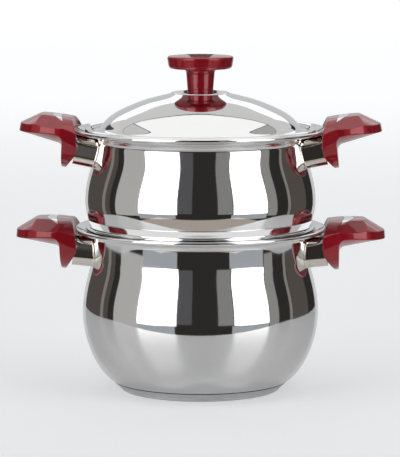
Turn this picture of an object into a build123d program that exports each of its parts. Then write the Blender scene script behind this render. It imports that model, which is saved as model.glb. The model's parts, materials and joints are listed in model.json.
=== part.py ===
from build123d import *
import os
from math import atan2, cos, degrees, radians, sin, tan

# Two-tier steamer pot: a stockpot with a sandwich base, a steamer with a
# perforated floor that plugs into it, and a domed lid. Millimetres, +Z up,
# origin on the axis at the resting face, +X through the right-hand handles.

# Sheet metal
wall = 0.8
seat_gap = 0.3
cut_overrun = 20.0

# Flared rim, the same on the pot and on the steamer
rim_radius = 126.0
roll_radius = 2.1
roll_turn_angle = 235
flare_radius = 7.0
flange_slope_angle = 25

# Pot body
pot_rim_reach = 18.0
pot_neck_radius = rim_radius - pot_rim_reach
pot_belly_bulge = 9.9
pot_belly_radius = pot_neck_radius + pot_belly_bulge
pot_floor_inset = 38.9
pot_floor_radius = pot_belly_radius - pot_floor_inset
pot_belly_height = 78.0
pot_neck_height = 134.25
pot_foot_pull_share = 0.463
pot_belly_low_pull_share = 0.49
pot_upper_pull_shares = (0.48, 0.169)
pot_throat_radius = 205.0
pot_throat_angle = 5

# Sandwich base
base_disc_thickness = 6.0
base_cap_wall = 0.6
base_foot_bulge = 0.6
base_foot_radius = pot_floor_radius + base_foot_bulge
base_foot_rounding = 2.4
base_seam_reach = 8.6
base_seam_radius = base_foot_radius + base_seam_reach
base_seam_height = 9.4

# Steamer body
plug_play = 1.0
plug_depth = 13.0
plug_corner_radius = 3.0
plug_flare_radius = 3.0
bead_radius = 2.2
bead_inset = 11.9
bead_reach = rim_radius - bead_inset
bead_turn_angle = 130
groove_depth = 3.5
groove_radius = 2.0
steamer_lean_angle = 14
steamer_belly_bulge = 0.9
steamer_belly_radius = bead_reach + steamer_belly_bulge
steamer_belly_rise = 24.2
steamer_rim_reach = 23.0
steamer_neck_radius = rim_radius - steamer_rim_reach
steamer_neck_rise = 81.8
steamer_upper_pull_shares = (0.451, 0.226)
hole_radius = 3.0
hole_ring_pitch = 13.5
hole_ring_count = 6
holes_per_ring_step = 6

# Lid
lid_rim_inset = 10.4
lid_brim_radius = rim_radius - lid_rim_inset
lid_brim_width = 3.6
lid_brim_crest_radius = lid_brim_radius - lid_brim_width
lid_brim_crest_rise = 3.0
lid_brim_to_valley = 6.8
lid_valley_radius = lid_brim_crest_radius - lid_brim_to_valley
lid_valley_drop = 1.9
lid_valley_to_dome = 3.7
lid_dome_radius = lid_valley_radius - lid_valley_to_dome
lid_dome_foot_lift = 0.7
lid_boss_radius = 27.2
lid_boss_bend_radius = 1.3
lid_boss_bend_angle = 60
lid_dome_slope_angle = 16
lid_rise = 38.5
lid_dome_shares = [(0.930, 0.150), (0.835, 0.345), (0.603, 0.610), (0.315, 0.833)]

# Knob and the parts that hold it
knob_collar_radius = 13.0
knob_collar_height = 3.2
knob_stem_foot_radius = 12.9
knob_stem_neck_radius = 14.1
knob_stem_head_radius = 16.8
knob_stem_height = 20.0
knob_stem_flare_height = 4.6
knob_under_radius = 31.4
knob_radius = 33.3
knob_side_height = 12.4
knob_lower_edge_radius = 3.8
knob_upper_edge_radius = 2.0
knob_crown = 1.2
knob_screw_radius = 2.5
knob_screw_head_radius = 5.0
knob_screw_head_height = 2.8
knob_screw_reach = 16.0
knob_insert_radius = 5.0
knob_insert_length = 14.0
knob_washer_radius = 9.0
knob_washer_thickness = 1.0
knob_gasket_radius = 8.0
knob_gasket_thickness = 1.5
thread_play = 0.05

# Handle seats: the ferrule axis leaves the wall here, tilted upwards
pot_seat_inset = 1.0
pot_handle_radius = pot_neck_radius - pot_seat_inset
pot_handle_rise = 5.65
pot_handle_height = pot_neck_height + pot_handle_rise
pot_handle_tilt_angle = 5.3
pot_grip_gap = 2.3
pot_grip_inner_radius = rim_radius + pot_grip_gap
steamer_seat_reach = 2.0
steamer_handle_radius = steamer_neck_radius + steamer_seat_reach
steamer_handle_rise = 72.6
steamer_handle_tilt_angle = 11.3
steamer_grip_gap = 1.2
steamer_grip_inner_radius = rim_radius + steamer_grip_gap

# Ferrule, and the saddle and nut welded to the wall inside it
ferrule_width = 57.0
ferrule_height = 29.8
ferrule_corner_radius = 10.0
ferrule_wall = 1.0
ferrule_rim_gap = 0.3
saddle_thickness = 2.8
saddle_depth = 9.0
saddle_fit = 0.3
nut_radius = 5.0
nut_bore_radius = 2.55
nut_length = 18.0

# Grip, in its own frame: u runs outwards along the ferrule axis, v upwards
grip_tip_u = 78.5
grip_corner_u = 61.0
grip_corner_half = 35.0
grip_wide_u = 35.0
grip_wide_half = 43.0
grip_inner_half = 39.0
grip_flank_u = 49.5
grip_flank_half = 40.9
grip_crest_u = 59.0
grip_crest_v = 28.4
grip_end_drop = 14.3
grip_end_crown_radius = 90.0
facet_peak_half = 19.0
facet_peak_v = 26.0
facet_wide_v = 19.8
facet_corner_v = 18.3
grip_sections_u = [6.0, 34.0, 60.0, 86.0]
grip_crown_v = [27.0, 29.4, 27.1, 23.6]
grip_top_shares = [(0.45, 0.06), (0.72, 0.40)]
grip_shoulder_v = [3.5, 19.3, 17.6, 14.5]
grip_flank_v = [2.5, 12.4, 12.9, 13.2]
grip_keel_v = [0.6, 1.4, 4.0, 6.9]
grip_section_half = 44.0

# Finger guard under the grip
guard_outer_u = 31.6
guard_foot_u = 29.6
guard_depth = 21.3
guard_fillet = 7.0
guard_fillet_v = 1.8
guard_round_radius = 45.0
guard_sweep = 32
guard_hollow_v = -1.5
guard_back_slope = 15
guard_root_v = 2.7

# Crescent let into the top of each grip
inlay_outer_u = 49.0
inlay_inner_u = 39.4
inlay_horn_u = 35.8
inlay_horn_half = 29.0
inlay_depth = 1.2
inlay_tool_low_v = 12.0
inlay_tool_high_v = 40.0

# Handle screw and washer
screw_radius = 2.5
screw_play = 0.25
screw_head_radius = 4.4
screw_head_height = 2.6
screw_length = 18.0
screw_seat_u = 27.0
screw_drop = 5.5
screw_recess_radius = 5.6
screw_slot_width = 1.2
screw_slot_depth = 1.2
washer_radius = 5.0
washer_thickness = 1.0

# Places worked out from the sizes above
pot_floor_height = base_cap_wall + base_disc_thickness
flange_angle = radians(flange_slope_angle)
curl_radius = roll_radius - wall
spline_samples = 24
spline_end_speeds = (1, 1)


def flange_edges(start, heading):
    """Flare, flange and rolled rim, walked outwards along the outside of the sheet."""
    turn = flange_slope_angle - degrees(atan2(heading.Y, heading.X))
    flare = JernArc(start, heading, flare_radius, turn)
    roll_start = rim_radius - roll_radius - curl_radius * sin(flange_angle)
    reach = roll_start - (flare @ 1).X
    end = (flare @ 1) + Vector(reach, reach * tan(flange_angle))
    flange = Line(flare @ 1, end)
    roll = JernArc(end, flange % 1, curl_radius, -roll_turn_angle)
    return [flare, flange, roll]


def flange_top(start, heading, radius):
    """Height of the flange's upper face at a radius, for a flare that leaves the neck along a heading."""
    inside_flare = flare_radius + wall
    foot_radius = start.X + heading.Y * flare_radius - inside_flare * sin(flange_angle)
    foot_height = start.Y - heading.X * flare_radius + inside_flare * cos(flange_angle)
    return foot_height + (radius - foot_radius) * tan(flange_angle)


def between(low, high, share):
    """The value that lies a share of the way from low to high."""
    return low + (high - low) * share


def upper_wall(belly, neck, pull_shares):
    """Outside of a vessel from its belly in to its neck, upright at both ends."""
    rise = neck[1] - belly[1]
    belly_pull = (belly[0], belly[1] + rise * pull_shares[0])
    neck_pull = (neck[0], neck[1] - rise * pull_shares[1])
    return Bezier(belly, belly_pull, neck_pull, neck)


def inner_side(edge):
    """The same stretch of the outline on the inner face of the sheet."""
    def moved(share):
        heading = edge % share
        return (edge @ share) + Vector(-heading.Y, heading.X) * wall
    if edge.geom_type == GeomType.LINE:
        return Line(moved(0), moved(1))
    if edge.geom_type == GeomType.CIRCLE:
        return ThreePointArc(moved(0), moved(1 / 2), moved(1))
    points = [moved(step / spline_samples) for step in range(spline_samples + 1)]
    return Spline(points, tangents=[edge % 0, edge % 1], tangent_scalars=spline_end_speeds)


def sheet(edges):
    """Turn a walked outside line into a drawn sheet, thickened towards the inside."""
    inner = [inner_side(edge) for edge in edges]
    ends = [Line(edges[0] @ 0, inner[0] @ 0), Line(edges[-1] @ 1, inner[-1] @ 1)]
    return revolve(Plane.XZ * make_face([*edges, *inner, *ends]), Axis.Z)


def filled(edges):
    """Everything inside a walked outside line, up to its last point."""
    line = Wire(edges)
    top = line @ 1
    closing = Polyline((top.X, top.Y), (0, top.Y), (0, (line @ 0).Y))
    return revolve(Plane.XZ * make_face(line.edges() + closing.edges()), Axis.Z)


def turned(points):
    """Solid of revolution from a closed outline of (radius, height) points."""
    return revolve(Plane.XZ * make_face(Polyline(*points, close=True)), Axis.Z)


def tube(outer, inner, bottom, top):
    """Ring between two heights."""
    height = top - bottom
    ring = Cylinder(outer, height) - Cylinder(inner, height + cut_overrun)
    return Pos(0, 0, bottom + height / 2) * ring


def rod(radius, bottom, top):
    """Round bar between two heights."""
    height = top - bottom
    return Pos(0, 0, bottom + height / 2) * Cylinder(radius, height)


# Vessel outlines

def pot_outline():
    """Outside of the pot, from the centre of its floor to the end of its rolled rim."""
    floor_edge = (pot_floor_radius, pot_floor_height)
    belly = (pot_belly_radius, pot_belly_height)
    floor_pull = (between(pot_floor_radius, pot_belly_radius, pot_foot_pull_share), pot_floor_height)
    belly_pull = (pot_belly_radius, between(pot_belly_height, pot_floor_height, pot_belly_low_pull_share))
    floor = Line((0, pot_floor_height), floor_edge)
    lower = Bezier(floor_edge, floor_pull, belly_pull, belly)
    neck = (pot_neck_radius, pot_neck_height)
    upper = upper_wall(belly, neck, pot_upper_pull_shares)
    throat = pot_throat()
    return [floor, lower, upper, throat, *flange_edges(throat @ 1, throat % 1)]


def pot_throat():
    """Slow outward curve of the pot's wall from its neck up to the flare."""
    return JernArc((pot_neck_radius, pot_neck_height), (0, 1), pot_throat_radius, -pot_throat_angle)


def bead_seat():
    """Centre of the steamer's bead, resting a seat gap above the pot's flange."""
    throat = pot_throat()
    radius = bead_reach - bead_radius
    lift = (bead_radius + seat_gap) / cos(flange_angle)
    return radius, flange_top(throat @ 1, throat % 1, radius) + lift


def steamer_outline():
    """Outside of the steamer, from the centre of its floor to the end of its rolled rim."""
    bead_x, bead_z = bead_seat()
    bead_start = Vector(bead_x + bead_radius * sin(flange_angle), bead_z - bead_radius * cos(flange_angle))
    plug_radius = pot_neck_radius - wall - plug_play
    floor_height = bead_z - bead_radius - plug_depth
    floor_edge = (plug_radius - plug_corner_radius, floor_height)
    floor = Line((0, floor_height), floor_edge)
    corner = JernArc(floor_edge, (1, 0), plug_corner_radius, 90)
    flare_reach = plug_flare_radius * (1 - sin(flange_angle))
    slope_run = bead_start.X - plug_radius - flare_reach
    flare_foot = bead_start.Y - slope_run * tan(flange_angle) - plug_flare_radius * cos(flange_angle)
    side = Line(corner @ 1, (plug_radius, flare_foot))
    flare = JernArc(side @ 1, (0, 1), plug_flare_radius, flange_slope_angle - 90)
    slope = Line(flare @ 1, bead_start)
    bead = JernArc(bead_start, slope % 1, bead_radius, bead_turn_angle)
    heading = bead % 1
    groove_reach = bead_reach - groove_depth
    tuck = (bead @ 1).X - groove_reach - groove_radius * (1 - heading.Y)
    neck_in = Line(bead @ 1, (bead @ 1) + heading * (tuck / -heading.X))
    groove = JernArc(neck_in @ 1, heading, groove_radius, 90 - steamer_lean_angle - flange_slope_angle - bead_turn_angle)
    belly = (steamer_belly_radius, bead_z + steamer_belly_rise + bead_radius * 2)
    lower = Spline([groove @ 1, belly], tangents=[groove % 1, (0, 1)])
    neck = (steamer_neck_radius, steamer_neck_height())
    upper = upper_wall(belly, neck, steamer_upper_pull_shares)
    rim = flange_edges(upper @ 1, upper % 1)
    return [floor, corner, side, flare, slope, bead, neck_in, groove, lower, upper, *rim]


def steamer_neck_height():
    """Height of the steamer's neck above the resting face."""
    return bead_seat()[1] + bead_radius * 2 + steamer_neck_rise


def lid_outline():
    """Underside of the lid, from its centre out to the edge of the brim."""
    neck = Vector(steamer_neck_radius, steamer_neck_height())
    edge_z = flange_top(neck, Vector(0, 1), lid_brim_radius) + seat_gap
    crest_z = edge_z + lid_brim_crest_rise
    valley_z = crest_z - lid_valley_drop
    top_z = edge_z + lid_rise
    dome_foot = (lid_dome_radius, valley_z + lid_dome_foot_lift)
    boss = Line((0, top_z), (lid_boss_radius, top_z))
    step_down = JernArc(boss @ 1, (1, 0), lid_boss_bend_radius, -lid_boss_bend_angle)
    step_out = JernArc(step_down @ 1, step_down % 1, lid_boss_bend_radius, lid_boss_bend_angle - lid_dome_slope_angle)
    dome_top = step_out @ 1
    dome = [
        (between(dome_top.X, dome_foot[0], out), between(dome_foot[1], dome_top.Y, up))
        for out, up in reversed(lid_dome_shares)
    ]
    crown = Spline([dome_top, *dome, dome_foot, (lid_valley_radius, valley_z),
                    (lid_brim_crest_radius, crest_z), (lid_brim_radius - wall, edge_z)],
                   tangents=[step_out % 1, (0, -1)])
    return [boss, step_down, step_out, crown]


# Pieces of the pot

def build_base(pot_inside):
    """Aluminium disc and the steel cap pressed round it."""
    def block(inset):
        slope = Vector(base_seam_radius - base_foot_radius, base_seam_height).normalized()
        shift = inset / slope.Y
        low = inset
        foot = base_foot_radius + slope.X / slope.Y * low - shift
        seam = base_seam_radius - shift
        points = [(0, low), (foot, low), (seam, base_seam_height), (0, base_seam_height)]
        return turned(points) - pot_inside
    cap = block(0)
    foot_edge = cap.edges().filter_by(GeomType.CIRCLE).sort_by(Axis.Z)[0]
    cap = fillet(foot_edge, base_foot_rounding)
    disc = block(base_cap_wall)
    disc_foot = disc.edges().filter_by(GeomType.CIRCLE).sort_by(Axis.Z)[0]
    disc = fillet(disc_foot, base_foot_rounding - base_cap_wall)
    return disc, cap - disc


def build_steamer_body(outline):
    """Steamer shell with rings of steam holes in its floor."""
    floor_height = (outline[0] @ 0).Y
    drill = Pos(0, 0, floor_height) * Cylinder(hole_radius, cut_overrun)
    holes = [drill]
    for ring in range(1, hole_ring_count + 1):
        count = ring * holes_per_ring_step
        turn = 360 / count
        holes += [Rot(0, 0, turn * index) * Pos(ring * hole_ring_pitch, 0, 0) * drill for index in range(count)]
    return sheet(outline) - holes


# Handles

def grip_frame(radius, height, tilt):
    """Where a handle's own frame sits on its vessel, on the +X side."""
    return Pos(radius, 0, height) * Rot(0, -tilt, 0)


def across(u):
    """Plane square to the ferrule axis, its first axis along +Y and its second along v."""
    return Plane(origin=(u, 0, 0), x_dir=(0, 1, 0), z_dir=(1, 0, 0))


def grip_section(u, crown, shoulder, flank, keel):
    """Closed outline across the grip: arched top, upright sides, arched underside."""
    half = grip_section_half
    right = [(half * out, between(crown, shoulder, down)) for out, down in grip_top_shares]
    left = [(-side, height) for side, height in reversed(right)]
    outline = [
        Spline((-half, shoulder), *left, (0, crown), *right, (half, shoulder)),
        Line((half, shoulder), (half, flank)),
        ThreePointArc((half, flank), (0, keel), (-half, flank)),
        Line((-half, flank), (-half, shoulder)),
    ]
    return across(u) * make_face(outline)


def plan_block():
    """Upright block with the grip's outline as seen from above."""
    inner = (grip_sections_u[0], grip_inner_half)
    wide = (grip_wide_u, grip_wide_half)
    corner = (grip_corner_u, grip_corner_half)
    def far(point):
        return point[0], -point[1]
    flank = (grip_flank_u, grip_flank_half)
    outline = [
        ThreePointArc(far(corner), far(flank), far(wide)),
        Polyline(far(wide), far(inner), inner, wide),
        ThreePointArc(wide, flank, corner),
        ThreePointArc(corner, (grip_tip_u, 0), far(corner)),
    ]
    height = guard_depth + grip_crest_v + cut_overrun * 2
    face = Pos(0, 0, -guard_depth - cut_overrun) * make_face([edge for line in outline for edge in line.edges()])
    return extrude(face, height, dir=(0, 0, 1))


def end_barrel():
    """Large round bar whose top line is the sloping end of the grip."""
    run = Vector(grip_tip_u - grip_crest_u, 0, -grip_end_drop)
    normal = Vector(grip_end_drop, 0, grip_tip_u - grip_crest_u).normalized()
    centre = Vector(grip_crest_u, 0, grip_crest_v) - normal * grip_end_crown_radius
    length = (grip_tip_u + grip_end_crown_radius) * 3
    return Plane(origin=centre, z_dir=run) * Cylinder(grip_end_crown_radius, length)


def facet_cutter():
    """Block that takes off the slanting facet between the top and one flank."""
    peak = Vector(grip_crest_u, facet_peak_half, facet_peak_v)
    wide = Vector(grip_wide_u, grip_wide_half, facet_wide_v)
    corner = Vector(grip_corner_u, grip_corner_half, facet_corner_v)
    out = (corner - peak).cross(wide - peak).normalized()
    if out.Z < 0:
        out = out * -1
    size = grip_tip_u * 2
    block = Box(size, size, size, align=(Align.CENTER, Align.CENTER, Align.MIN))
    return Plane(origin=peak, x_dir=wide - peak, z_dir=out) * block


def guard():
    """Finger guard under the grip, swept round the same axis as the arch of the underside."""
    arch_rise = grip_flank_v[1] - grip_keel_v[1]
    arch_radius = (grip_section_half ** 2 + arch_rise ** 2) / (arch_rise * 2)
    arch_axis = Axis((0, 0, grip_keel_v[1] + arch_radius), (1, 0, 0))
    fillet_end = (guard_outer_u + guard_fillet, guard_fillet_v)
    outer_top = (guard_outer_u, guard_fillet_v - guard_fillet)
    outline = [
        Polyline(fillet_end, (fillet_end[0], guard_root_v), (0, guard_root_v), (0, -guard_depth),
                 (guard_foot_u, -guard_depth), outer_top),
        RadiusArc(outer_top, fillet_end, guard_fillet),
    ]
    side = Plane.XZ * make_face([edge for line in outline for edge in line.edges()])
    block = revolve(side, arch_axis, guard_sweep * 2).rotate(arch_axis, -guard_sweep)
    round_centre = guard_round_radius - guard_depth
    tongue = Plane.YZ * Pos(0, round_centre, 0) * Cylinder(guard_round_radius, grip_tip_u * 2)
    return block & tongue & plan_block()


def grip_blank():
    """Cut-gem grip with its finger guard, before the hollow, the inlay and the screw hole."""
    stations = zip(grip_sections_u, grip_crown_v, grip_shoulder_v, grip_flank_v, grip_keel_v)
    body = loft([grip_section(*station) for station in stations])
    body = body & plan_block() & end_barrel()
    cutter = facet_cutter()
    body = body - cutter - mirror(cutter, Plane.XZ)
    return body + guard()


def crescent():
    """Upright block with the outline of the silver crescent."""
    horn = (inlay_horn_u, inlay_horn_half)
    far_horn = (inlay_horn_u, -inlay_horn_half)
    outline = [
        ThreePointArc(horn, (inlay_outer_u, 0), far_horn),
        ThreePointArc(far_horn, (inlay_inner_u, 0), horn),
    ]
    face = Pos(0, 0, inlay_tool_low_v) * make_face(outline)
    return extrude(face, inlay_tool_high_v - inlay_tool_low_v, dir=(0, 0, 1))


def hand_hollow(inner_radius, height, tilt):
    """Space round the vessel that the grips stay out of, opening out downwards."""
    back = tan(radians(guard_back_slope + tilt))
    bend = height + guard_hollow_v
    low = bend - guard_depth * 2
    high = height + guard_depth * 3
    return turned([
        (0, low),
        (inner_radius + (bend - low) * back, low),
        (inner_radius, bend),
        (inner_radius, high),
        (0, high),
    ])


def along(start, end, radius):
    """Round bar on the screw's line, a little under the ferrule axis."""
    length = end - start
    return Pos(start + length / 2, 0, -screw_drop) * Rot(0, 90, 0) * Cylinder(radius, length)


def oval(start, end, grow):
    """Block with the ferrule's rounded section, larger all round by grow."""
    section = RectangleRounded(ferrule_width + grow * 2, ferrule_height + grow * 2, ferrule_corner_radius + grow)
    return extrude(across(start) * section, end - start)


def build_handle(radius, height, tilt, inner_radius, vessel, vessel_clear):
    """One handle on the +X side: a dictionary of its pieces."""
    frame = grip_frame(radius, height, tilt)
    hollow = hand_hollow(inner_radius, height, tilt)
    blank = grip_blank()
    inlay = (blank & crescent()) - Pos(0, 0, -inlay_depth) * blank
    recess = along(screw_seat_u, screw_seat_u + cut_overrun, screw_recess_radius)
    hole = along(0, screw_seat_u + cut_overrun, screw_radius + screw_play)
    grip = frame * (blank - inlay - recess - hole) - hollow
    sleeve = oval(-saddle_depth, guard_outer_u, 0) - oval(-cut_overrun, guard_outer_u + cut_overrun, -ferrule_wall)
    ferrule = (frame * sleeve & hollow) - vessel_clear
    saddle = frame * oval(-saddle_depth, saddle_thickness, -ferrule_wall - saddle_fit) - vessel
    nut_end = saddle_thickness + nut_length
    nut = along(saddle_thickness, nut_end, nut_radius) - along(0, nut_end + cut_overrun, nut_bore_radius)
    washer = along(screw_seat_u, screw_seat_u + washer_thickness, washer_radius)
    washer = washer - along(0, screw_seat_u + cut_overrun, screw_radius + screw_play)
    head_u = screw_seat_u + washer_thickness
    head_end = head_u + screw_head_height
    slot = Box(screw_slot_depth * 2, screw_slot_width, screw_head_radius * 3)
    head = along(head_u, head_end, screw_head_radius) - Pos(head_end, 0, -screw_drop) * slot
    screw = head + along(head_u - screw_length, head_u, screw_radius)
    return {
        "grip": grip,
        "inlay": frame * inlay,
        "ferrule": ferrule,
        "saddle": saddle,
        "nut": frame * nut,
        "screw": frame * screw,
        "washer": frame * washer,
    }


# Lid fittings

def build_lid():
    """Lid shell and everything that the knob is made of."""
    outline = lid_outline()
    top = (outline[0] @ 0).Y + wall
    below = top - wall
    shell = sheet(outline) - rod(knob_screw_radius + screw_play, below - cut_overrun, top + cut_overrun)
    collar_top = top + knob_collar_height
    collar = tube(knob_collar_radius, knob_insert_radius + thread_play, top, collar_top)
    stem_top = collar_top + knob_stem_height
    flare_foot = stem_top - knob_stem_flare_height
    rim_z = stem_top + knob_side_height
    outline = [
        Line((0, collar_top), (knob_stem_foot_radius, collar_top)),
        Line((knob_stem_foot_radius, collar_top), (knob_stem_neck_radius, flare_foot)),
        Spline([(knob_stem_neck_radius, flare_foot), (knob_stem_head_radius, stem_top)],
               tangents=[(0, 1), (1, 1)]),
        Line((knob_stem_head_radius, stem_top), (knob_under_radius, stem_top)),
        Line((knob_under_radius, stem_top), (knob_radius, rim_z)),
        ThreePointArc((knob_radius, rim_z), (0, rim_z + knob_crown), (-knob_radius, rim_z)).trim(0, 1 / 2),
        Line((0, rim_z + knob_crown), (0, collar_top)),
    ]
    knob = revolve(Plane.XZ * make_face(outline), Axis.Z)
    roundings = ((knob_radius, knob_upper_edge_radius), (knob_under_radius, knob_lower_edge_radius))
    for lip_radius, rounding in roundings:
        edges = knob.edges().filter_by(GeomType.CIRCLE)
        lip = [edge for edge in edges if abs(edge.radius - lip_radius) < thread_play]
        knob = fillet(lip, rounding)
    insert_top = collar_top + knob_insert_length
    knob = knob - rod(knob_insert_radius + thread_play, collar_top - cut_overrun, insert_top)
    insert = tube(knob_insert_radius, knob_screw_radius + thread_play, top, insert_top)
    gasket_low = below - knob_gasket_thickness
    gasket = tube(knob_gasket_radius, knob_screw_radius + screw_play, gasket_low, below)
    washer_low = gasket_low - knob_washer_thickness
    washer = tube(knob_washer_radius, knob_screw_radius + screw_play, washer_low, gasket_low)
    head_low = washer_low - knob_screw_head_height
    slot = Pos(0, 0, head_low) * Box(knob_screw_head_radius * 3, screw_slot_width, screw_slot_depth * 2)
    screw = rod(knob_screw_head_radius, head_low, washer_low) - slot
    screw = screw + rod(knob_screw_radius, washer_low, washer_low + knob_screw_reach)
    return {
        "lid_shell": shell,
        "knob": knob,
        "knob_collar": collar,
        "knob_insert": insert,
        "knob_gasket": gasket,
        "knob_washer": washer,
        "knob_screw": screw,
    }


def add_handles(nodes, vessel_name, handle):
    """Put one handle on each side of a vessel."""
    turn_round = Rot(0, 0, 180)
    for piece in ("grip", "inlay", "ferrule", "saddle"):
        nodes[vessel_name + "_right_" + piece] = handle[piece]
        nodes[vessel_name + "_left_" + piece] = turn_round * handle[piece]
    for piece in ("nut", "screw", "washer"):
        pair = [handle[piece], turn_round * handle[piece]]
        nodes[vessel_name + "_handle_" + piece + "s"] = Compound(children=[s for p in pair for s in p.solids()])


def build_nodes():
    """Every piece of the steamer pot by its node's name."""
    nodes = {}
    pot_line = pot_outline()
    pot_inside = filled(pot_line[:-1])
    throat_end = pot_throat() @ 1
    pot_clear = pot_inside + tube(throat_end.X + ferrule_rim_gap, throat_end.X - wall,
                                  throat_end.Y - roll_radius, throat_end.Y)
    nodes["pot_body"] = sheet(pot_line)
    nodes["base_disc"], nodes["base_cap"] = build_base(pot_inside)
    pot_handle = build_handle(pot_handle_radius, pot_handle_height, pot_handle_tilt_angle,
                              pot_grip_inner_radius, pot_inside, pot_clear)
    add_handles(nodes, "pot", pot_handle)

    steamer_line = steamer_outline()
    steamer_inside = filled(steamer_line[:-1])
    nodes["steamer_body"] = build_steamer_body(steamer_line)
    handle_height = (steamer_line[8] @ 0).Y + steamer_handle_rise
    steamer_handle = build_handle(steamer_handle_radius, handle_height, steamer_handle_tilt_angle,
                                  steamer_grip_inner_radius, steamer_inside, steamer_inside)
    add_handles(nodes, "steamer", steamer_handle)

    nodes.update(build_lid())
    return nodes


os.makedirs("parts", exist_ok=True)
for name, piece in build_nodes().items():
    piece.label = name
    export_step(piece, "parts/" + name + ".step")
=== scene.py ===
import json
from math import atan2, cos, degrees, pi, radians, sin, sqrt, tan

import bmesh
import bpy
import numpy as np
from mathutils import Matrix, Vector
from mathutils.geometry import delaunay_2d_cdt


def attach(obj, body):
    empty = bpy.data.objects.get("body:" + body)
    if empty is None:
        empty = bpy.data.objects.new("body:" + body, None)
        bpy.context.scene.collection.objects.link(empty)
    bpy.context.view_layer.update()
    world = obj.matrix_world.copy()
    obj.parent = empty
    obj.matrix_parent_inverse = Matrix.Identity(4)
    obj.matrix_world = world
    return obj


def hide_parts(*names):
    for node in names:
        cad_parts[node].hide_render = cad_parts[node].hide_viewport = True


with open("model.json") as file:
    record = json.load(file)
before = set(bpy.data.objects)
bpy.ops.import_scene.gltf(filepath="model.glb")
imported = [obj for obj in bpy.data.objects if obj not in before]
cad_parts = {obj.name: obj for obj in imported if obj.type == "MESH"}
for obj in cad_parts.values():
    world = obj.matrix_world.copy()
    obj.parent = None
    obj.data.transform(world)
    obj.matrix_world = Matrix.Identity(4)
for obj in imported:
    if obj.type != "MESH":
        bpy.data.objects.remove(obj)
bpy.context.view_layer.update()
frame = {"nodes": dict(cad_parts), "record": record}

# Sizes in millimetres, the same as the CAD's
mm = 0.001
wall = 0.8
rim_radius = 126.0
roll_radius = 2.1
roll_turn = 235
flare_radius = 7.0
flange_slope = 25
flange_angle = radians(flange_slope)

pot_floor = 6.6
pot_floor_radius = 79
pot_belly = (117.9, 78)
pot_lower_pulls = ((97.01, pot_floor), (117.9, 43.01))
pot_upper_pulls = ((117.9, 105.0), (108.0, 124.74))
pot_neck = (108.0, 134.25)
pot_throat_radius = 205.0
pot_throat_turn = 5

cap_height = 9.4
cap_foot_radius = 79.6
cap_top_radius = 88.2
cap_foot_inset = 2.2
cap_foot_bend = 2.4
cap_foot_turn = 48
cap_lip = 0.35
cap_lip_top = (87.9, cap_height)
cap_inside = [(87.0, 9.0), (86.2, 8.4), (78.9, wall), (0, wall)]

steamer_floor = 145.885
steamer_plate_radius = 90.0
plug_radius = 106.2
plug_bend = 3
bead_centre = (111.9, 161.085)
bead_radius = 2.2
bead_turn = 130
bead_tuck = 3.5
bead_tuck_bend = 2
steamer_lean = 14
steamer_belly = (115.0, 189.685)
steamer_upper_pulls = ((115.0, 215.65), (103.0, 234.27))
steamer_neck = (103.0, 247.285)
hole_radius = 3.0
hole_sides = 20
hole_ring_pitch = 13.5
hole_ring_count = 6

lid_top = 297.303
lid_edge = 258.803
lid_bore = 2.75
lid_boss_radius = 27.2
lid_boss_bend = 1.3
lid_boss_turn = 60
lid_dome_slope = 16
lid_dome_shares = [(0.315, 0.833), (0.603, 0.610), (0.835, 0.345), (0.930, 0.150)]
lid_valley = (105.2, lid_edge + 1.1)
lid_dome_foot = (101.5, lid_valley[1] + 0.7)
lid_crest = (112.0, lid_edge + 3.0)
lid_brim = (115.6 - wall, lid_edge)

knob_foot = 301.303
knob_head = knob_foot + 20.0
knob_rim = knob_foot + 32.4
knob_crown = 1.2
knob_foot_bend = 0.5
knob_foot_radius = 12.4
knob_neck = (14.1, knob_head - 4.6)
knob_flare = ((14.2, knob_head - 2.8), (15.4, knob_head - 1.2), (16.8, knob_head))
knob_lower_bend = 3.8
knob_lower_turn = 81.3
knob_under_radius = 28.1
knob_side_top = (32.95, knob_rim - 2.4)
knob_upper_bend = 2.2
knob_upper_turn = 95

collar_foot = lid_top + wall
collar_radius = 13
collar_bore = 6
collar_groove_depth = 0.4
collar_groove_rises = (1.6, 1.8, 2.0)
collar_lower_bend = 0.3
collar_upper_bend = 0.4

sleeve_half_width = 28.5
sleeve_half_height = 14.9
sleeve_corner = 10.0
sleeve_overlap = 1.0
sleeve_flare = [(-0.5, 0.9), (0.0, 0.75), (0.25, 0.42), (0.6, 0.16), (1.1, 0.03), (1.7, 0.0)]
grip_voxel = 0.5
grip_softening = 6

# Seat radius, height, tilt in degrees and radius of the grip's inner face
pot_handle = (107.0, 139.9, 5.3, 128.3)
steamer_handle = (105.0, 238.5, 11.3, 127.2)

# Painted shade in the polish where two pieces meet, as dark rings in the steel's colour: radius, height,
# dark within, clear beyond
painted_seam_shade = [(114.3, 161.4, 1.5, 2.3), (87.6, 9.3, 0.5, 1.1)]

lathe_steps = 288


# Outlines

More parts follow.
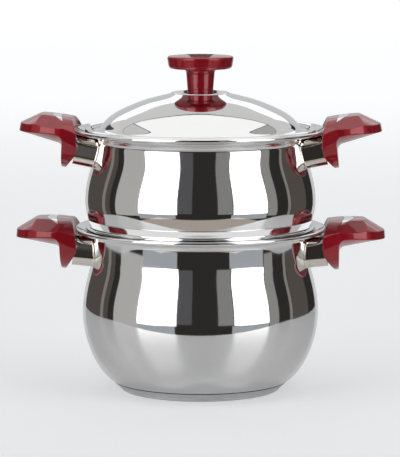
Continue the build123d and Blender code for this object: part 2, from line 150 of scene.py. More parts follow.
class Outline:
    """A meridian walked in millimetres: x is the radius and z the height."""

    def __init__(self, x, z, heading=0.0):
        self.points = [(x, z)]
        self.heading = radians(heading)

    def to(self, x, z, steps=1):
        """Straight run to a point."""
        x0, z0 = self.points[-1]
        self.heading = atan2(z - z0, x - x0)
        for step in range(1, steps + 1):
            share = step / steps
            self.points.append((x0 + (x - x0) * share, z0 + (z - z0) * share))
        return self

    def ahead(self, length, steps=1):
        """Straight run along the heading."""
        x, z = self.points[-1]
        return self.to(x + length * cos(self.heading), z + length * sin(self.heading), steps)

    def turn(self, radius, sweep, heading=None, steps=None):
        """Arc that leaves along the heading, to the left where its sweep in degrees is positive."""
        if heading is not None:
            self.heading = radians(heading)
        side = 1 if sweep > 0 else -1
        steps = steps or max(4, round(abs(sweep) / 6))
        x, z = self.points[-1]
        cx = x - side * radius * sin(self.heading)
        cz = z + side * radius * cos(self.heading)
        for step in range(1, steps + 1):
            angle = self.heading + radians(sweep) * step / steps
            self.points.append((cx + side * radius * sin(angle), cz - side * radius * cos(angle)))
        self.heading += radians(sweep)
        return self

    def curve(self, a, b, end, steps=48):
        """Cubic curve with two pulls."""
        start = self.points[-1]
        for step in range(1, steps + 1):
            t = step / steps
            w = ((1 - t) ** 3, 3 * t * (1 - t) ** 2, 3 * t * t * (1 - t), t ** 3)
            self.points.append(tuple(
                w[0] * start[k] + w[1] * a[k] + w[2] * b[k] + w[3] * end[k] for k in (0, 1)))
        self.heading = atan2(end[1] - b[1], end[0] - b[0])
        return self

    def through(self, points, end_heading, steps=10):
        """Smooth line through points, along the heading at the start and end_heading at the end."""
        knots = np.array([self.points[-1], *points], dtype=float)
        gaps = np.hypot(*np.diff(knots, axis=0).T)
        count = len(knots)
        system = np.zeros((count, count))
        target = np.zeros((count, 2))
        system[0, 0] = system[-1, -1] = 1
        target[0] = (cos(self.heading), sin(self.heading))
        target[-1] = (cos(radians(end_heading)), sin(radians(end_heading)))
        for k in range(1, count - 1):
            left, right = gaps[k - 1], gaps[k]
            system[k, k - 1:k + 2] = (right, 2 * (left + right), left)
            before, after = knots[k] - knots[k - 1], knots[k + 1] - knots[k]
            target[k] = 3 * (right / left * before + left / right * after)
        slopes = np.linalg.solve(system, target)
        for k in range(count - 1):
            for step in range(1, steps + 1):
                t = step / steps
                w = (2 * t ** 3 - 3 * t ** 2 + 1, t ** 3 - 2 * t ** 2 + t,
                     3 * t ** 2 - 2 * t ** 3, t ** 3 - t ** 2)
                point = (w[0] * knots[k] + w[1] * gaps[k] * slopes[k]
                         + w[2] * knots[k + 1] + w[3] * gaps[k] * slopes[k + 1])
                self.points.append((float(point[0]), float(point[1])))
        self.heading = radians(end_heading)
        return self

    def sheet(self, thickness=wall):
        """Closed section of a sheet that is thickened to the left of the walk."""
        line = np.array(self.points)
        forward = np.gradient(line, axis=0)
        first, last = line[1] - line[0], line[-1] - line[-2]
        forward[0], forward[-1] = first, last
        runs = np.diff(line, axis=0)
        runs /= np.hypot(*runs.T)[:, None]
        forward[1:-1] = runs[1:] + runs[:-1]
        forward /= np.hypot(*forward.T)[:, None]
        inner = line + np.column_stack([-forward[:, 1], forward[:, 0]]) * thickness
        inner[:, 0] = np.maximum(inner[:, 0], 0)
        return [tuple(p) for p in line] + [tuple(p) for p in inner[::-1]]


def flange(line):
    """Flare, flange and rolled rim on top of a neck."""
    curl = roll_radius - wall
    line.turn(flare_radius, flange_slope - degrees(line.heading), None, 14)
    x, z = line.points[-1]
    reach = rim_radius - roll_radius - curl * sin(flange_angle) - x
    line.to(x + reach, z + reach * tan(flange_angle), 8)
    return line.turn(curl, -roll_turn, steps=30)


def pot_line():
    """Outside of the pot from the middle of its floor to its rim."""
    line = Outline(0, pot_floor).to(pot_floor_radius, pot_floor, 6)
    line.curve(*pot_lower_pulls, pot_belly, 72)
    line.curve(*pot_upper_pulls, pot_neck, 56)
    return flange(line.turn(pot_throat_radius, -pot_throat_turn, 90, 12))


def steamer_line(start):
    """Outside of the steamer from a radius on its floor to its rim."""
    bead_x, bead_z = bead_centre
    line = Outline(start, steamer_floor).to(plug_radius - plug_bend, steamer_floor).turn(plug_bend, 90)
    bead_start = (bead_x + bead_radius * sin(flange_angle), bead_z - bead_radius * cos(flange_angle))
    flare_reach = plug_bend * (1 - sin(flange_angle))
    slope_run = bead_start[0] - plug_radius - flare_reach
    flare_foot = bead_start[1] - slope_run * tan(flange_angle) - plug_bend * cos(flange_angle)
    line.to(plug_radius, flare_foot, 3).turn(plug_bend, flange_slope - 90)
    line.to(*bead_start, 4).turn(bead_radius, bead_turn, steps=22)
    tuck_radius = bead_x + bead_radius - bead_tuck
    tuck = line.points[-1][0] - tuck_radius - bead_tuck_bend * (1 - sin(line.heading))
    line.ahead(tuck / -cos(line.heading), 2)
    line.turn(bead_tuck_bend, 90 - steamer_lean - flange_slope - bead_turn, steps=14)
    x, z = line.points[-1]
    belly_x, belly_z = steamer_belly
    pull = sqrt((belly_x - x) ** 2 + (belly_z - z) ** 2) / 3
    first_pull = (x + pull * cos(line.heading), z + pull * sin(line.heading))
    line.curve(first_pull, (belly_x, belly_z - pull), steamer_belly, 32)
    line.curve(*steamer_upper_pulls, steamer_neck, 56)
    return flange(line)


def lid_line(start):
    """Underside of the lid from a radius on its raised centre to its edge."""
    line = Outline(start, lid_top).to(lid_boss_radius, lid_top, 4)
    line.turn(lid_boss_bend, -lid_boss_turn, steps=10)
    line.turn(lid_boss_bend, lid_boss_turn - lid_dome_slope, steps=8)
    x, z = line.points[-1]
    foot_x, foot_z = lid_dome_foot
    dome = [(x + (foot_x - x) * out, foot_z + (z - foot_z) * up) for out, up in lid_dome_shares]
    return line.through([*dome, lid_dome_foot, lid_valley, lid_crest, lid_brim], -90, 14)


# Mesh helpers

def new_object(name, data):
    """Object in the scene for a mesh or a camera."""
    piece = bpy.data.objects.new(name, data)
    bpy.context.scene.collection.objects.link(piece)
    return piece


def shade(mesh, sharp_angle=40):
    """Smooth shading with creases at real corners."""
    mesh.shade_smooth()
    mesh.set_sharp_from_angle(angle=radians(sharp_angle))


def spin(section, steps=lathe_steps, closed=True):
    """Bmesh of a section of (radius, height) points turned round the Z axis."""
    bm = bmesh.new()
    rings = []
    for radius, height in section:
        if radius < 1e-6:
            rings.append([bm.verts.new((0, 0, height * mm))] * steps)
            continue
        ring = []
        for step in range(steps):
            angle = 2 * pi * step / steps
            ring.append(bm.verts.new((radius * mm * cos(angle), radius * mm * sin(angle), height * mm)))
        rings.append(ring)
    pairs = list(zip(rings, rings[1:]))
    if closed:
        pairs.append((rings[-1], rings[0]))
    for low, high in pairs:
        for step in range(steps):
            after = (step + 1) % steps
            corners = []
            for vert in (low[step], low[after], high[after], high[step]):
                if vert not in corners:
                    corners.append(vert)
            if len(corners) > 2:
                bm.faces.new(corners)
    return bm


def finish_mesh(name, bm, sharp_angle=40):
    """Object from a bmesh, with its faces turned outwards."""
    bmesh.ops.recalc_face_normals(bm, faces=bm.faces)
    mesh = bpy.data.meshes.new(name)
    bm.to_mesh(mesh)
    bm.free()
    shade(mesh, sharp_angle)
    return new_object(name, mesh)


def lathe(name, section, sharp_angle=40):
    """Turned piece from its closed section."""
    return finish_mesh(name, spin(section), sharp_angle)


def rounded(points, radii, steps=6):
    """Closed outline with each corner rounded by its own radius."""
    result = []
    count = len(points)
    for k, (corner, radius) in enumerate(zip(points, radii)):
        here = Vector(corner)
        before = (Vector(points[k - 1]) - here).normalized()
        after = (Vector(points[(k + 1) % count]) - here).normalized()
        if not radius:
            result.append(corner)
            continue
        half = before.angle(after) / 2
        reach = radius / tan(half)
        start, end = here + before * reach, here + after * reach
        centre = here + (before + after).normalized() * (radius / sin(half))
        sweep = (start - centre).angle_signed(end - centre)
        for step in range(steps + 1):
            arm = (start - centre).copy()
            arm.rotate(Matrix.Rotation(-sweep * step / steps, 2))
            result.append(tuple(centre + arm))
    return result


# Vessels and lid

def circle(x, y, radius, count):
    """Points round a centre, in millimetres."""
    turns = [2 * pi * k / count for k in range(count)]
    return [Vector((x + radius * cos(turn), y + radius * sin(turn))) for turn in turns]


def perforated_floor(bm, outer):
    """Both faces of the steamer's floor inside a radius, with the walls of its holes."""
    centres = [Vector((0, 0))]
    for ring in range(1, hole_ring_count + 1):
        centres += circle(0, 0, ring * hole_ring_pitch, ring * 6)
    points = circle(0, 0, outer, lathe_steps)
    loops = [list(range(lathe_steps))]
    for x, y in centres:
        start = len(points)
        loops.append(list(range(start, start + hole_sides)))
        points += circle(x, y, hole_radius, hole_sides)
    edges = [(loop[k], loop[(k + 1) % len(loop)]) for loop in loops for k in range(len(loop))]
    flat, _, faces, _, _, _ = delaunay_2d_cdt(points, edges, [], 1, 1e-5)
    keep = []
    for face in faces:
        middle = sum((flat[k] for k in face), Vector((0, 0))) / len(face)
        if all((middle - centre).length > hole_radius * 0.98 for centre in centres):
            keep.append(face)
    levels = (steamer_floor, steamer_floor + wall)
    for height in levels:
        verts = [bm.verts.new((p.x * mm, p.y * mm, height * mm)) for p in flat]
        for face in keep:
            bm.faces.new([verts[k] for k in face])
    for x, y in centres:
        edge = circle(x, y, hole_radius, hole_sides)
        low, high = [[bm.verts.new((p.x * mm, p.y * mm, height * mm)) for p in edge] for height in levels]
        for k in range(hole_sides):
            after = (k + 1) % hole_sides
            bm.faces.new((low[k], low[after], high[after], high[k]))


def make_steamer_shell():
    """Turned shell of the steamer, closed by its perforated floor."""
    bm = spin(steamer_line(steamer_plate_radius).sheet(), closed=False)
    perforated_floor(bm, steamer_plate_radius)
    bmesh.ops.remove_doubles(bm, verts=bm.verts, dist=2e-6)
    return finish_mesh("steamer_shell", bm)


def make_base_cap():
    """Cap round the sandwich base, with a small step where its edge meets the pot."""
    slope = (cap_top_radius - cap_foot_radius) / cap_height
    line = Outline(0, 0).to(cap_foot_radius - cap_foot_inset, 0, 8)
    line.turn(cap_foot_bend, cap_foot_turn, 0, 10)
    line.to(cap_top_radius - cap_lip * slope, cap_height - cap_lip, 8)
    line.to(*cap_lip_top)
    return lathe("base_cap_shell", line.points + cap_inside)


# Handles

def voxel_piece(name, node, voxel, rounds):
    """A node's shape in a new even mesh whose edges are softened."""
    source = frame["nodes"][node]
    piece = new_object(name, source.data.copy())
    piece.matrix_world = source.matrix_world
    weld = piece.modifiers.new("weld", "WELD")
    weld.merge_threshold = 1e-5
    remesh = piece.modifiers.new("remesh", "REMESH")
    remesh.mode = "VOXEL"
    remesh.voxel_size = voxel * mm
    soften = piece.modifiers.new("soften", "SMOOTH")
    soften.factor = 0.5
    soften.iterations = rounds
    graph = bpy.context.evaluated_depsgraph_get()
    mesh = bpy.data.meshes.new_from_object(piece.evaluated_get(graph))
    piece.modifiers.clear()
    piece.data = mesh
    mesh.materials.clear()
    mesh.shade_smooth()
    return piece


def outer_radius(points, height):
    """Radius of a vessel's outside at a height."""
    for (x0, z0), (x1, z1) in zip(points, points[1:]):
        if z0 <= height <= z1 and z1 > z0:
            return x0 + (x1 - x0) * (height - z0) / (z1 - z0)
    return points[-1][0]


def make_ferrule(name, side, seat, height, tilt, inner_radius, wall_points):
    """Oval sleeve from the vessel's wall into the grip, with a small flare at the wall."""
    corner = sleeve_corner
    reach_y, reach_v = sleeve_half_width - corner, sleeve_half_height - corner
    corner_steps = 18
    ring = []
    for cy, cv, start in ((reach_y, reach_v, 0), (-reach_y, reach_v, 90),
                          (-reach_y, -reach_v, 180), (reach_y, -reach_v, 270)):
        for step in range(corner_steps + 1):
            angle = radians(start + 90 * step / corner_steps)
            ring.append((cy + corner * cos(angle), cv + corner * sin(angle), cos(angle), sin(angle)))
    slant = radians(tilt)

    def place(u, y, v):
        x = seat + u * cos(slant) - v * sin(slant)
        z = height + u * sin(slant) + v * cos(slant)
        return x, y, z

    def wall_u(y, v):
        """Reach along the handle at which a line of the sleeve leaves the vessel's wall."""
        low, high = -20.0, 25.0
        for _ in range(40):
            middle = (low + high) / 2
            x, _, z = place(middle, y, v)
            if sqrt(x * x + y * y) < outer_radius(wall_points, z):
                low = middle
            else:
                high = middle
        return high

    def grip_u(y, v):
        """Reach along the handle at which a line of the sleeve ends inside the grip."""
        return (sqrt(inner_radius ** 2 - y * y) - seat) / cos(slant) + v * tan(slant) + sleeve_overlap

    bm = bmesh.new()
    rings = []
    for shift, flare in sleeve_flare:
        rings.append([(wall_u(y, v) + shift, y + ny * flare, v + nv * flare) for y, v, ny, nv in ring])
    starts = [point[0] for point in rings[-1]]
    sleeve_steps = 12
    for step in range(1, sleeve_steps + 1):
        share = step / sleeve_steps
        rings.append([(start + (grip_u(y, v) - start) * share, y, v)
                      for start, (y, v, _, _) in zip(starts, ring)])
    made = []
    for points in rings:
        row = []
        for point in points:
            x, y, z = place(*point)
            row.append(bm.verts.new((side * x * mm, side * y * mm, z * mm)))
        made.append(row)
    for low, high in zip(made, made[1:]):
        for k in range(len(ring)):
            after = (k + 1) % len(ring)
            bm.faces.new((low[k], low[after], high[after], high[k]))
    bmesh.ops.remove_doubles(bm, verts=bm.verts, dist=1e-6)
    return finish_mesh(name, bm, 60)


# Lid fittings

def make_knob():
    """Mushroom knob with a waisted stem and a thick disc with rounded edges."""
    line = Outline(0, knob_foot).to(knob_foot_radius, knob_foot).turn(knob_foot_bend, 90)
    line.to(*knob_neck, 10)
    line.curve(*knob_flare, 10)
    line.to(knob_under_radius, knob_head, 6).turn(knob_lower_bend, knob_lower_turn, steps=16)
    line.to(*knob_side_top, 6)
    line.turn(knob_upper_bend, knob_upper_turn, steps=14)
    lip_radius, lip_height = line.points[-1]
    crown = knob_rim + knob_crown - lip_height
    steps = 16
    for step in range(1, steps + 1):
        share = 1 - step / steps
        line.points.append((lip_radius * share, lip_height + crown * (1 - share ** 2)))
    return lathe("knob_turned", line.points, 50)


def make_collar():
    """Red collar with rounded edges and a fine groove."""
    groove_low, groove_middle, groove_high = (collar_foot + rise for rise in collar_groove_rises)
    corners = [
        (collar_bore, collar_foot),
        (collar_radius, collar_foot),
        (collar_radius, groove_low),
        (collar_radius - collar_groove_depth, groove_middle),
        (collar_radius, groove_high),
        (collar_radius, knob_foot),
        (collar_bore, knob_foot),
    ]
    bends = [0, collar_lower_bend, 0, 0, 0, collar_upper_bend, 0]
    return lathe("knob_collar_turned", rounded(corners, bends, 5))


# Materials

def shader(name):
    """New node material with its principled shader and a helper that adds and links nodes."""
    mat = bpy.data.materials.new(name)
    mat.use_nodes = True
    tree = mat.node_tree
    core = tree.nodes["Principled BSDF"]

    def add(kind, links=None, **values):
        node = tree.nodes.new(kind)
        for key, value in values.items():
            setattr(node, key, value)
        for socket, source in (links or {}).items():
            if isinstance(source, (int, float, tuple)):
                node.inputs[socket].default_value = source
            else:
                tree.links.new(source, node.inputs[socket])
        return node
    return mat, tree, core, add


def math(add, operation, first, second):
    """Result of one sum with two inputs."""
    return add("ShaderNodeMath", {0: first, 1: second}, operation=operation).outputs[0]


def radius_and_height(add):
    """Sockets with a point's place, its distance from the Z axis, its height and its azimuth."""
    place = add("ShaderNodeTexCoord").outputs["Object"]
    x, y, height = add("ShaderNodeSeparateXYZ", {0: place}).outputs
    squares = math(add, "ADD", math(add, "MULTIPLY", x, x), math(add, "MULTIPLY", y, y))
    radius = math(add, "POWER", squares, 0.5)
    return place, radius, height, math(add, "ARCTAN2", y, x)


def steel(name, color, rough_low, rough_high, line_strength, line_scale=1400.0, rings=False):
    """Polished or brushed steel with fine turned lines, uneven gloss and painted shade in dark rings where
    pieces meet.
    """
    mat, tree, core, add = shader(name)
    place, radius, height, angle = radius_and_height(add)
    along = math(add, "MULTIPLY", angle, 1.2)
    across = math(add, "MULTIPLY", radius if rings else height, line_scale)
    stretched = add("ShaderNodeCombineXYZ", {0: along, 1: across, 2: 0.0})
    lines = add("ShaderNodeTexNoise", {"Vector": stretched.outputs[0], "Scale": 1.0, "Detail": 4.0,
                                       "Roughness": 0.65})
    cloud = add("ShaderNodeTexNoise", {"Vector": place, "Scale": 18.0, "Detail": 3.0, "Roughness": 0.5})
    mixed = math(add, "MULTIPLY", lines.outputs[0], cloud.outputs[0])
    rough = add("ShaderNodeMapRange", {"Value": mixed, "From Min": 0.12, "From Max": 0.42,
                                       "To Min": rough_low, "To Max": rough_high})
    tone = add("ShaderNodeMapRange", {"Value": cloud.outputs[0], "From Min": 0.3, "From Max": 0.7,
                                      "To Min": 0.97, "To Max": 1.0}).outputs[0]
    section = add("ShaderNodeCombineXYZ", {0: radius, 1: height, 2: 0.0}).outputs[0]
    # Painted shade: the steel's colour is darkened in a ring round each seam where two pieces meet
    for crease_radius, crease_height, dark, clear in painted_seam_shade:
        away = add("ShaderNodeVectorMath", {0: section, 1: (crease_radius * mm, crease_height * mm, 0.0)},
                   operation="DISTANCE")
        shadow = add("ShaderNodeMapRange", {"Value": away.outputs["Value"], "From Min": dark * mm,
                                            "From Max": clear * mm, "To Min": 0.05, "To Max": 1.0})
        tone = math(add, "MULTIPLY", tone, shadow.outputs[0])
    tint = add("ShaderNodeVectorMath", {0: color, "Scale": tone}, operation="SCALE")
    bump = add("ShaderNodeBump", {"Height": lines.outputs[0], "Strength": line_strength,
                                  "Distance": 0.00002})
    tree.links.new(tint.outputs[0], core.inputs["Base Color"])
    tree.links.new(rough.outputs[0], core.inputs["Roughness"])
    tree.links.new(bump.outputs[0], core.inputs["Normal"])
    core.inputs["Metallic"].default_value = 1.0
    return mat


def resin(name):
    """Deep red metallic resin under a clear glossy skin."""
    mat, tree, core, add = shader(name)
    place = add("ShaderNodeTexCoord").outputs["Object"]
    flakes = add("ShaderNodeTexVoronoi", {"Vector": place, "Scale": 2600.0})
    cloud = add("ShaderNodeTexNoise", {"Vector": place, "Scale": 24.0, "Detail": 3.0})
    blend = add("ShaderNodeMath", {0: flakes.outputs["Color"], 1: cloud.outputs[0]}, operation="MULTIPLY")
    ramp = add("ShaderNodeValToRGB", {0: blend.outputs[0]})
    ramp.color_ramp.elements[0].color = (0.24, 0.0016, 0.008, 1)
    ramp.color_ramp.elements[1].color = (0.40, 0.006, 0.020, 1)
    ramp.color_ramp.elements[0].position = 0.1
    ramp.color_ramp.elements[1].position = 0.6
    rough = add("ShaderNodeMapRange", {"Value": flakes.outputs["Distance"], "From Min": 0.0, "From Max": 0.6,
                                       "To Min": 0.28, "To Max": 0.42})
    wave = add("ShaderNodeTexNoise", {"Vector": place, "Scale": 60.0, "Detail": 2.0})
    bump = add("ShaderNodeBump", {"Height": wave.outputs[0], "Strength": 0.06, "Distance": 0.0003})
    tree.links.new(ramp.outputs[0], core.inputs["Base Color"])
    tree.links.new(rough.outputs[0], core.inputs["Roughness"])
    tree.links.new(bump.outputs[0], core.inputs["Coat Normal"])
    core.inputs["Metallic"].default_value = 0.35
    core.inputs["Specular IOR Level"].default_value = 0.15
    core.inputs["Coat Weight"].default_value = 0.9
    core.inputs["Coat Roughness"].default_value = 0.04
    core.inputs["Coat IOR"].default_value = 1.5
    return mat


def plain_noise(name, low, high, metallic, rough, scale):
    """Simple material whose colour and gloss vary a little."""
    mat, tree, core, add = shader(name)
    place = add("ShaderNodeTexCoord").outputs["Object"]
    cloud = add("ShaderNodeTexNoise", {"Vector": place, "Scale": scale, "Detail": 5.0, "Roughness": 0.6})
    ramp = add("ShaderNodeValToRGB", {0: cloud.outputs[0]})
    ramp.color_ramp.elements[0].color = (*low, 1)
    ramp.color_ramp.elements[1].color = (*high, 1)
    ramp.color_ramp.elements[0].position = 0.35
    ramp.color_ramp.elements[1].position = 0.65
    gloss = add("ShaderNodeMapRange", {"Value": cloud.outputs[0], "From Min": 0.3, "From Max": 0.7,
                                       "To Min": rough * 0.8, "To Max": rough * 1.2})
    bump = add("ShaderNodeBump", {"Height": cloud.outputs[0], "Strength": 0.15, "Distance": 0.0001})
    tree.links.new(ramp.outputs[0], core.inputs["Base Color"])
    tree.links.new(gloss.outputs[0], core.inputs["Roughness"])
    tree.links.new(bump.outputs[0], core.inputs["Normal"])
    core.inputs["Metallic"].default_value = metallic
    return mat


def wear(piece, mat):
    """Give a piece one material."""
    piece.data.materials.clear()
    piece.data.materials.append(mat)


# Build

bright = (0.80, 0.80, 0.80)
shell_steel = steel("shell_steel", bright, 0.035, 0.075, 0.10)
lid_steel = steel("lid_steel", bright, 0.03, 0.07, 0.08, 1400.0, True)
ferrule_steel = steel("ferrule_steel", (0.82, 0.77, 0.70), 0.05, 0.12, 0.2, 900.0)
base_steel = steel("base_steel", (0.70, 0.70, 0.71), 0.22, 0.38, 0.5, 1800.0)
plain_steel = steel("plain_steel", (0.60, 0.60, 0.60), 0.25, 0.4, 0.3, 900.0)
red_resin = resin("red_resin")
silver = plain_noise("silver", (0.80, 0.81, 0.83), (0.90, 0.91, 0.92), 1.0, 0.22, 90.0)
disc_metal = plain_noise("disc_metal", (0.70, 0.70, 0.70), (0.80, 0.80, 0.80), 1.0, 0.35, 60.0)
brass = plain_noise("brass", (0.60, 0.42, 0.18), (0.74, 0.55, 0.28), 1.0, 0.25, 80.0)
rubber = plain_noise("rubber", (0.016, 0.016, 0.016), (0.03, 0.03, 0.03), 0.0, 0.75, 220.0)

slot_mats = {
    "pot_steel": shell_steel, "steamer_steel": shell_steel, "lid_steel": lid_steel,
    "ferrule_steel": ferrule_steel, "base_steel": base_steel,
    "base_core": disc_metal, "bracket_steel": plain_steel, "fastener_steel": plain_steel,
    "grip_resin": red_resin, "knob_resin": red_resin, "inlay_silver": silver,
    "insert_brass": brass, "gasket_rubber": rubber,
}
for entry in frame["record"]["subparts"]:
    for holder in frame["nodes"][entry["node"]].material_slots:
        holder.material = slot_mats[entry["material_slot"]]


def place(piece, body, node, slot_name):
    """Ride a new piece on a body in place of a node."""
    wear(piece, slot_mats[slot_name])
    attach(piece, body)
    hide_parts(node)


place(lathe("pot_shell", pot_line().sheet()), "pot", "pot_body", "pot_steel")
place(make_base_cap(), "pot", "base_cap", "base_steel")
place(make_steamer_shell(), "steamer", "steamer_body", "steamer_steel")
place(lathe("lid_turned", lid_line(lid_bore).sheet()), "lid", "lid_shell", "lid_steel")
place(make_knob(), "lid", "knob", "knob_resin")
place(make_collar(), "lid", "knob_collar", "knob_resin")

handles = {
    "pot": (pot_handle, pot_line().points),
    "steamer": (steamer_handle, steamer_line(steamer_plate_radius).points),
}
for vessel, (handle, wall_points) in handles.items():
    for side_name, side in (("left", -1), ("right", 1)):
        stem = "%s_%s" % (vessel, side_name)
        grip = voxel_piece(stem + "_handle", stem + "_grip", grip_voxel, grip_softening)
        place(grip, vessel, stem + "_grip", "grip_resin")
        sleeve = make_ferrule(stem + "_sleeve", side, *handle, wall_points)
        place(sleeve, vessel, stem + "_ferrule", "ferrule_steel")


# Stage, light and camera

def flat_face(name, corners):
    """One flat face through its corners, in metres."""
    bm = bmesh.new()
    bm.faces.new([bm.verts.new(corner) for corner in corners])
    mesh = bpy.data.meshes.new(name)
    bm.to_mesh(mesh)
    bm.free()
    return new_object(name, mesh)


def sheet_plane(name, x0, x1, y0, y1, z):
    return flat_face(name, ((x0, y0, z), (x1, y0, z), (x1, y1, z), (x0, y1, z)))


def pale(name, color, rough, glow_near, glow_far, specular=0.0):
    """Plain studio surface that glows a little, more or less so further back."""
    mat, tree, core, add = shader(name)
    spot = add("ShaderNodeTexCoord").outputs["Object"]
    cloud = add("ShaderNodeTexNoise", {"Vector": spot, "Scale": 3.0, "Detail": 2.0})
    tone = add("ShaderNodeMapRange", {"Value": cloud.outputs[0], "From Min": 0.3, "From Max": 0.7,
                                      "To Min": 0.99, "To Max": 1.0})
    tint = add("ShaderNodeVectorMath", {0: color, "Scale": tone.outputs[0]}, operation="SCALE")
    tree.links.new(tint.outputs[0], core.inputs["Base Color"])
    core.inputs["Roughness"].default_value = rough
    core.inputs["Specular IOR Level"].default_value = specular
    back = add("ShaderNodeSeparateXYZ", {0: spot}).outputs[1]
    glow = add("ShaderNodeMapRange", {"Value": back, "From Min": -0.6, "From Max": 4.0,
                                      "To Min": glow_near, "To Max": glow_far},
               interpolation_type="SMOOTHSTEP")
    tree.links.new(glow.outputs[0], core.inputs["Emission Strength"])
    core.inputs["Emission Color"].default_value = (0.975, 0.99, 1.0, 1)
    return mat


def oval_plane(name, half_width, front, back, count=96):
    """Flat oval round the axis, with its own reach to the front and to the back."""
    facing = Matrix.Rotation(camera_turn, 3, "Z")
    corners = []
    for step in range(count):
        angle = 2 * pi * step / count
        reach = back if sin(angle) > 0 else front
        corners.append(facing @ Vector((half_width * cos(angle), reach * sin(angle), 0)))
    return flat_face(name, corners)


camera_turn = radians(2.3)
studio_half_width = 14
wall_height = 12
wall_glow = 0.87
paper = (0.60, 0.61, 0.62)
pale_floor = pale("pale_floor", paper, 0.8, 0.42, wall_glow)
pale_wall = pale("pale_wall", paper, 0.8, wall_glow, wall_glow)
table_paper = pale("table_paper", (0.56, 0.56, 0.57), 0.24, 0.19, 0.19, 1.0)
table_top = oval_plane("table_top", 0.75, 0.353, 0.80)
wide_floor = sheet_plane("wide_floor", -studio_half_width, studio_half_width, -9, 14, -0.0004)
backdrop = sheet_plane("backdrop", -studio_half_width, studio_half_width,
                       -wall_height / 2, wall_height / 2, 0.0)
upright = Matrix.Rotation(radians(90), 4, "X")
backdrop.matrix_world = Matrix.Translation((0, 14.0, wall_height / 2)) @ upright
for piece, mat in ((table_top, table_paper), (wide_floor, pale_floor), (backdrop, pale_wall)):
    wear(piece, mat)
wide_floor.visible_glossy = False
backdrop.visible_glossy = False
table_top.visible_camera = False
table_top.visible_shadow = False
table_top.visible_diffuse = False


def soft_light(name, width, height, radiance, color, use):
    """Soft panel that lights, is mirrored, or does both."""
    data = bpy.data.lights.new(name, "AREA")
    data.shape = "RECTANGLE"
    data.size = width
    data.size_y = height
    data.color = color
    data.energy = radiance * pi * width * height
    lamp = bpy.data.objects.new(name, data)
    bpy.context.scene.collection.objects.link(lamp)
    lamp.visible_camera = False
    lamp.visible_glossy = use != "lights"
    lamp.visible_diffuse = use != "mirrored"
    return lamp


def panel(name, start, end, distance, low, high, radiance, color, use):
    """Upright panel over a range of azimuths; 0 is the camera's side and 90 is its right."""
    width = 2 * distance * tan(radians(end - start) / 2)
    lamp = soft_light(name, width, high - low, radiance, color, use)
    turn = radians((start + end) / 2) + camera_turn
    lamp.location = (distance * sin(turn), -distance * cos(turn), (low + high) / 2)
    lamp.rotation_mode = "QUATERNION"
    aim = Vector((-lamp.location.x, -lamp.location.y, 0))
    lamp.rotation_quaternion = aim.to_track_quat("-Z", "Y")


def ceiling(name, x0, x1, y0, y1, height, radiance, color, use):
    """Level panel, facing down, or up where it lies below the table."""
    lamp = soft_light(name, x1 - x0, y1 - y0, radiance, color, use)
    lamp.location = ((x0 + x1) / 2, (y0 + y1) / 2, height)
    lamp.rotation_euler = (pi if height < 0 else 0, 0, 0)


white = (1, 1, 1)
sky = (0.86, 0.93, 1)
cool = (0.95, 0.98, 1)
brown = (1, 0.86, 0.74)

# Azimuths from and to, distance, bottom and top, radiance, colour and use
panel("key_left", -62, -22.5, 1.72, -0.10, 2.6, 1.19, white, "lights")
panel("key_right", 32, 68, 1.72, -0.10, 2.6, 1.19, white, "lights")
panel("grey_left", -91, -62, 1.9, -0.30, 1.6, 0.45, (1, 0.98, 0.95), "both")
panel("grey_front", 16.6, 31, 1.9, -0.10, 1.6, 0.22, white, "both")
panel("grey_right", 69, 80, 1.9, -0.30, 1.6, 0.26, (1, 0.98, 0.93), "both")
panel("soft_left", -62, -22.5, 1.7, -0.10, 2.6, 2.6, white, "mirrored")
panel("soft_right", 32, 68, 1.7, -0.10, 2.6, 2.6, white, "mirrored")
panel("under_left", -62, -24, 1.75, -0.42, -0.12, 0.42, sky, "mirrored")
panel("under_right", 30, 68, 1.75, -0.42, -0.12, 0.42, sky, "mirrored")
panel("brown_left", -150, -100, 2.2, -0.5, 1.6, 0.055, brown, "mirrored")
panel("brown_right", 100, 128, 2.2, -0.5, 1.6, 0.06, (1, 0.88, 0.76), "mirrored")
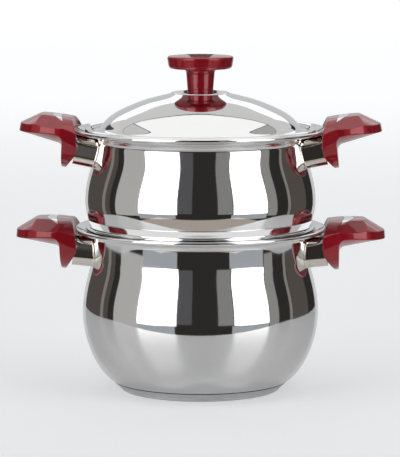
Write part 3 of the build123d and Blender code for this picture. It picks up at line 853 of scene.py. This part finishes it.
panel("line_left", -112, -107, 2.0, -0.4, 1.6, 0.16, (1, 0.92, 0.82), "mirrored")
panel("line_right", 95, 99, 2.0, -0.4, 1.6, 0.22, (1, 0.95, 0.88), "mirrored")
panel("dusk_front", -22, -8, 2.3, -0.1, 3.0, 0.075, (0.9, 0.92, 1), "mirrored")
panel("rear_left", 150, 179.3, 2.6, -1.0, 2.0, 0.60, cool, "mirrored")
panel("rear_right", 180.7, 210, 2.6, -1.0, 2.0, 0.60, cool, "mirrored")

# X from and to, Y from and to, height, radiance, colour and use
ceiling("soft_top", -1.25, 1.25, -0.80, 1.06, 1.87, 1.12, white, "both")
ceiling("grey_top", -2.6, 2.6, 1.13, 4.0, 1.9, 0.66, white, "mirrored")
ceiling("grey_top_left", -3.6, -1.31, -0.80, 1.10, 1.9, 0.62, white, "mirrored")
ceiling("grey_top_right", 1.31, 3.6, -0.80, 1.10, 1.9, 0.42, white, "mirrored")
ceiling("tan_floor", -1.4, 1.4, -1.7, -0.4, -0.45, 0.40, (1, 0.88, 0.76), "mirrored")

world = bpy.data.worlds.new("studio")
world.use_nodes = True
world.node_tree.nodes["Background"].inputs[0].default_value = (0.030, 0.027, 0.025, 1)
world.node_tree.nodes["Background"].inputs[1].default_value = 1.0
bpy.context.scene.world = world
bpy.context.scene.view_settings.view_transform = "Standard"

# Camera solved from the photo; the shifts and the lens are in its pixels
photo_height = 457
lens_px = 2772.0
camera_distance = 2.75
camera_height = 0.510
pitch = radians(7.26)
camera_data = bpy.data.cameras.new("camera")
camera_data.sensor_width = 36
camera_data.lens = lens_px / photo_height * camera_data.sensor_width
camera_data.shift_x = -0.4 / photo_height
camera_data.shift_y = 1.5 / photo_height
camera_data.clip_end = 60
camera = new_object("camera", camera_data)
bpy.context.scene.camera = camera
camera.location = (camera_distance * sin(camera_turn), -camera_distance * cos(camera_turn), camera_height)
look = Vector((-sin(camera_turn) * cos(pitch), cos(camera_turn) * cos(pitch), -sin(pitch)))
camera.rotation_mode = "QUATERNION"
camera.rotation_quaternion = look.to_track_quat("-Z", "Y")
